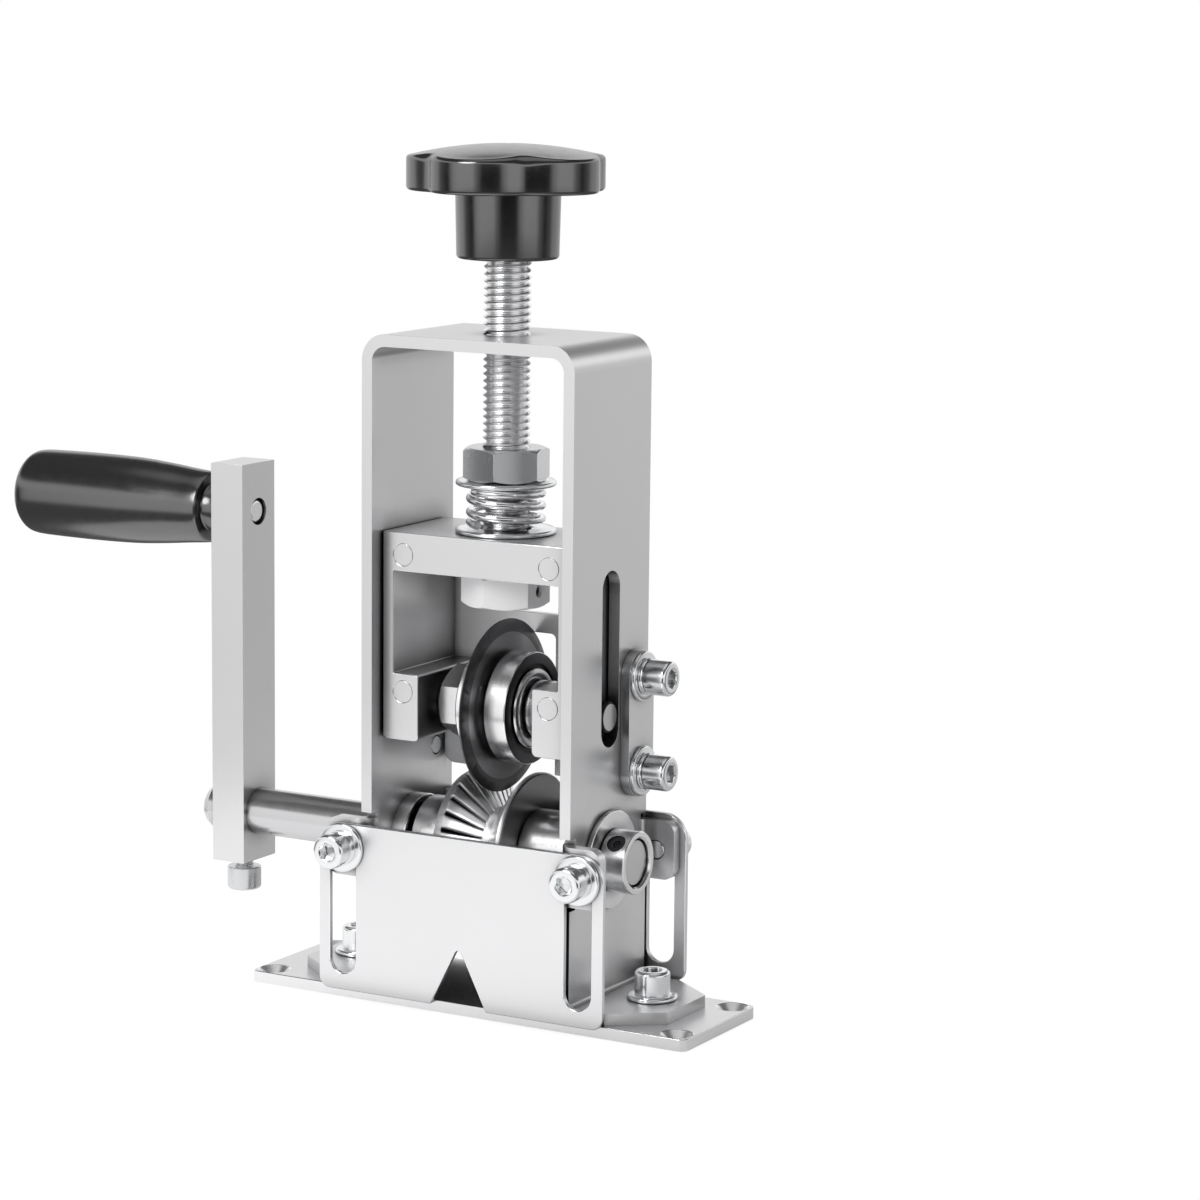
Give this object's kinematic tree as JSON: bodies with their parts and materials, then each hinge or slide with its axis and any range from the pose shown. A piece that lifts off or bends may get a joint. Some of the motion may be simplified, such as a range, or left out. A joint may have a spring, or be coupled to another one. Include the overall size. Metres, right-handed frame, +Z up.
{
  "type": "hand crank wire stripper",
  "caption": "Bench-mounted hand crank wire stripper with a round blade fed down onto grooved drive wheels by a star knob on a screw.",
  "frame": {"origin": "centre of the bench hole pattern on the underside of the base plate", "axes": "+Z up along the feed screw, +X along the drive shaft away from the crank, -Y the front where wire goes in"},
  "size_m": [0.2077, 0.0578, 0.2137],
  "materials": {
    "base_sheet": "satin zinc plate with rounded bright edges",
    "frame_sheet": "satin zinc plate, fine grain",
    "guide_sheet": "pale satin zinc plate",
    "zinc_hardware": "bright zinc plate",
    "spring_wire": "bright drawn wire",
    "screw_steel": "bright rolled thread",
    "turned_steel": "fine turned",
    "shaft_steel": "ground",
    "wheel_steel": "turned, plated",
    "blade_steel": "hardened, ground edge",
    "carriage_metal": "milled, bright bevelled edges",
    "arm_steel": "drawn square bar, plated",
    "dark_screw": "blackened",
    "black_plastic": "moulded, semi gloss"
  },
  "bodies": {
    "frame": {"base_plate": "base_sheet", "frame_strap": "frame_sheet", "foot_screws": "zinc_hardware", "foot_washers": "zinc_hardware", "shaft_bush_left": "turned_steel", "shaft_bush_right": "turned_steel", "side_strip_left": "frame_sheet", "side_strip_right": "frame_sheet", "strip_screws": "zinc_hardware", "strip_washers": "zinc_hardware", "strip_lock_washers": "zinc_hardware", "guide_screws": "zinc_hardware", "guide_washers": "zinc_hardware"},
    "front_guide": {"front_guide_plate": "guide_sheet"},
    "rear_guide": {"rear_guide_plate": "guide_sheet"},
    "feed": {"spring_top_washer": "zinc_hardware", "compression_spring": "spring_wire"},
    "screw": {"star_knob": "black_plastic", "knob_insert": "zinc_hardware", "feed_screw": "screw_steel", "upper_nut": "zinc_hardware", "lower_nut": "zinc_hardware", "nut_set_screw": "dark_screw"},
    "carriage": {"blade_carriage": "carriage_metal", "spring_seat_washer": "zinc_hardware", "carriage_pins": "carriage_metal", "blade_guard": "carriage_metal", "guard_pins": "carriage_metal", "blade_axle": "turned_steel", "axle_spacer": "turned_steel", "axle_sleeve": "turned_steel", "bearing_inner_ring": "turned_steel"},
    "blade": {"hub_bearing": "dark_screw", "blade_hub": "turned_steel", "cutting_blade": "blade_steel", "blade_flange": "turned_steel", "blade_nut": "turned_steel"},
    "crank": {"drive_shaft": "shaft_steel", "wheel_key": "shaft_steel", "ribbed_wheel": "wheel_steel", "plain_wheel": "wheel_steel", "spacer_left": "turned_steel", "spacer_right": "turned_steel", "shaft_collar": "turned_steel", "collar_set_screw": "dark_screw", "crank_arm": "arm_steel", "arm_clamp_screw": "zinc_hardware", "handle_axle": "turned_steel"},
    "grip": {"handle_grip": "black_plastic"}
  },
  "joints": [
    {"name": "knob_turn", "type": "hinge", "parent": "feed", "child": "screw", "pos_m": [0, 0.00135, 0.19], "axis": [0, 0, 1], "range_deg": [-370, 4330]},
    {"name": "feed_travel", "type": "slide", "parent": "frame", "child": "feed", "axis": [0, 0, 1], "range_m": [-0.00175, 0.021]},
    {"name": "carriage_float", "type": "slide", "parent": "feed", "child": "carriage", "axis": [0, 0, 1], "range_m": [0, 0.0015], "stiffness_N_per_m": 6000, "springref_m": -0.003, "deforming": ["compression_spring"]},
    {"name": "blade_spin", "type": "hinge", "parent": "carriage", "child": "blade", "pos_m": [0, 0.00135, 0.075], "axis": [1, 0, 0], "continuous": true},
    {"name": "crank_turn", "type": "hinge", "parent": "frame", "child": "crank", "pos_m": [0, 0.00135, 0.0395], "axis": [1, 0, 0], "continuous": true},
    {"name": "grip_spin", "type": "hinge", "parent": "crank", "child": "grip", "pos_m": [-0.115, 0.00135, 0.1177], "axis": [1, 0, 0], "continuous": true},
    {"name": "front_guide_slide", "type": "slide", "parent": "frame", "child": "front_guide", "axis": [0, 0, 1], "range_m": [0, 0.02]},
    {"name": "rear_guide_slide", "type": "slide", "parent": "frame", "child": "rear_guide", "axis": [0, 0, 1], "range_m": [-0.0028, 0.017]}
  ],
  "couplings": [
    {"joint": "knob_turn", "follows": "feed_travel", "rad_per_m": 3590.4}
  ]
}
